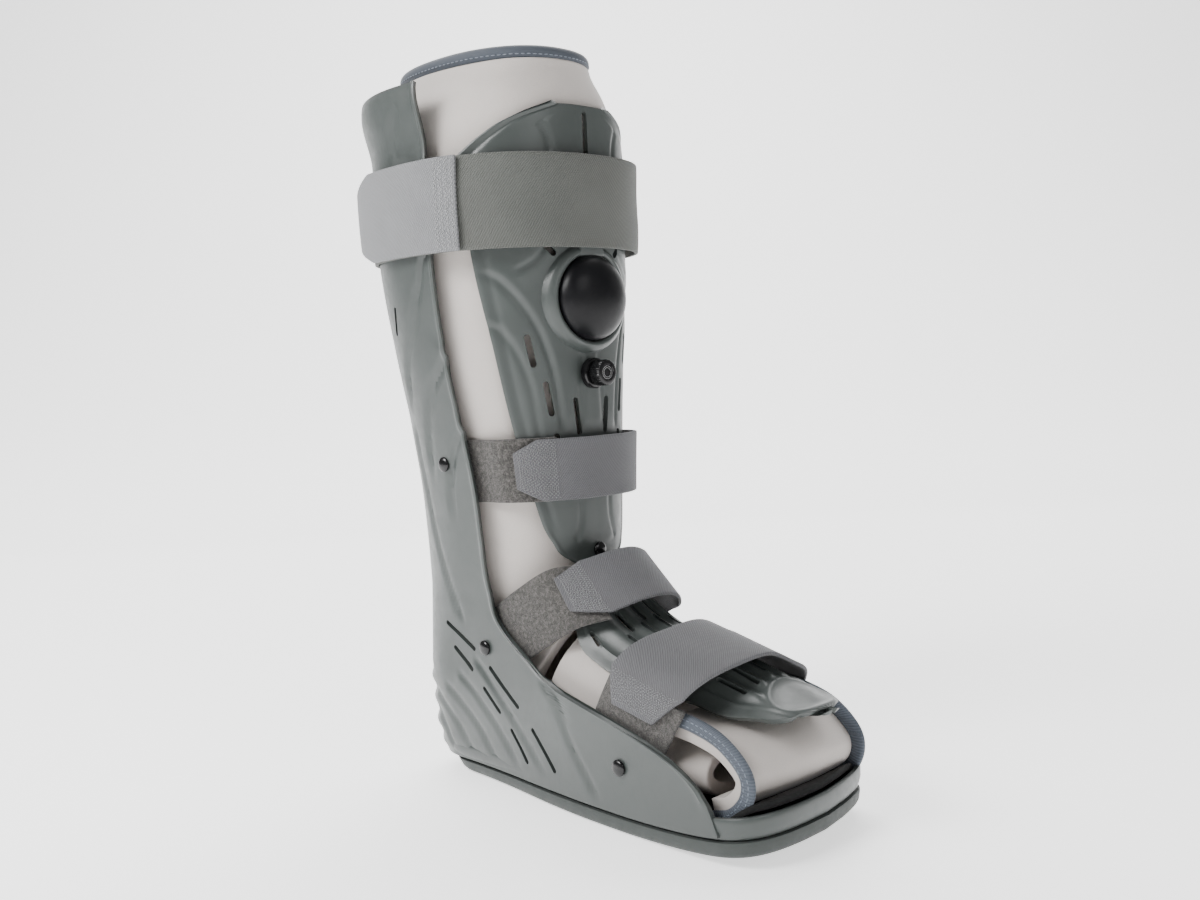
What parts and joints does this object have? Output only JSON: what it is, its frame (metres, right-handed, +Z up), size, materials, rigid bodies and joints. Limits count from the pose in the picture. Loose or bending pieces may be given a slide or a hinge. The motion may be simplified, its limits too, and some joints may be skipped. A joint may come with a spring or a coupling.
{
  "type": "medical walking boot",
  "caption": "Tall pneumatic medical walking boot with grey moulded shells, a padded liner, hook-and-loop straps, an air pump bulb and a release valve",
  "frame": {"origin": "on the flat underside of the outsole, below the axis of the leg", "axes": "+Z up the leg, -Y towards the toe, +X towards the wearer's left"},
  "size_m": [0.1541, 0.3111, 0.43],
  "materials": {
    "shell_plastic": "satin moulded grey plastic with a slight green cast",
    "rubber_sole": "matt green-grey rubber",
    "insole_foam": "black foam with a cloth face",
    "liner_foam": "warm off-white knit over foam",
    "binding_tape": "slate blue-grey folded tape",
    "strap_webbing": "neutral grey woven webbing",
    "calf_webbing": "olive-grey woven webbing",
    "loop_felt": "mottled taupe-grey loop felt",
    "black_rubber": "smooth black rubber",
    "black_plastic": "glossy black plastic"
  },
  "bodies": {
    "boot": {"outsole": "rubber_sole", "rear_shell": "shell_plastic", "insole": "insole_foam", "liner_leg": "liner_foam", "liner_foot": "liner_foam", "liner_top_binding": "binding_tape", "toe_flap": "liner_foam", "toe_flap_binding_near": "binding_tape", "toe_flap_binding_far": "binding_tape", "shin_shell": "shell_plastic", "instep_shell": "shell_plastic", "pump_bulb": "black_rubber", "valve_base": "black_plastic", "ankle_rivet": "black_plastic", "calf_rivet_near": "black_plastic", "calf_rivet_far": "black_plastic", "ankle_rivet_near": "black_plastic", "ankle_rivet_far": "black_plastic", "forefoot_rivet_near": "black_plastic", "forefoot_rivet_far": "black_plastic", "calf_strap_band": "calf_webbing", "calf_strap_tab": "strap_webbing", "shin_strap": "strap_webbing", "shin_strap_pad": "loop_felt", "ankle_strap": "strap_webbing", "ankle_strap_pad": "loop_felt", "forefoot_strap": "strap_webbing", "forefoot_strap_pad": "loop_felt"},
    "valve_knob": {"valve_knob": "black_plastic"}
  },
  "joints": [
    {"name": "valve_turn", "type": "hinge", "parent": "boot", "child": "valve_knob", "pos_m": [0, -0.07, 0.243], "axis": [0, -1, 0], "range_deg": [0, 90]}
  ]
}
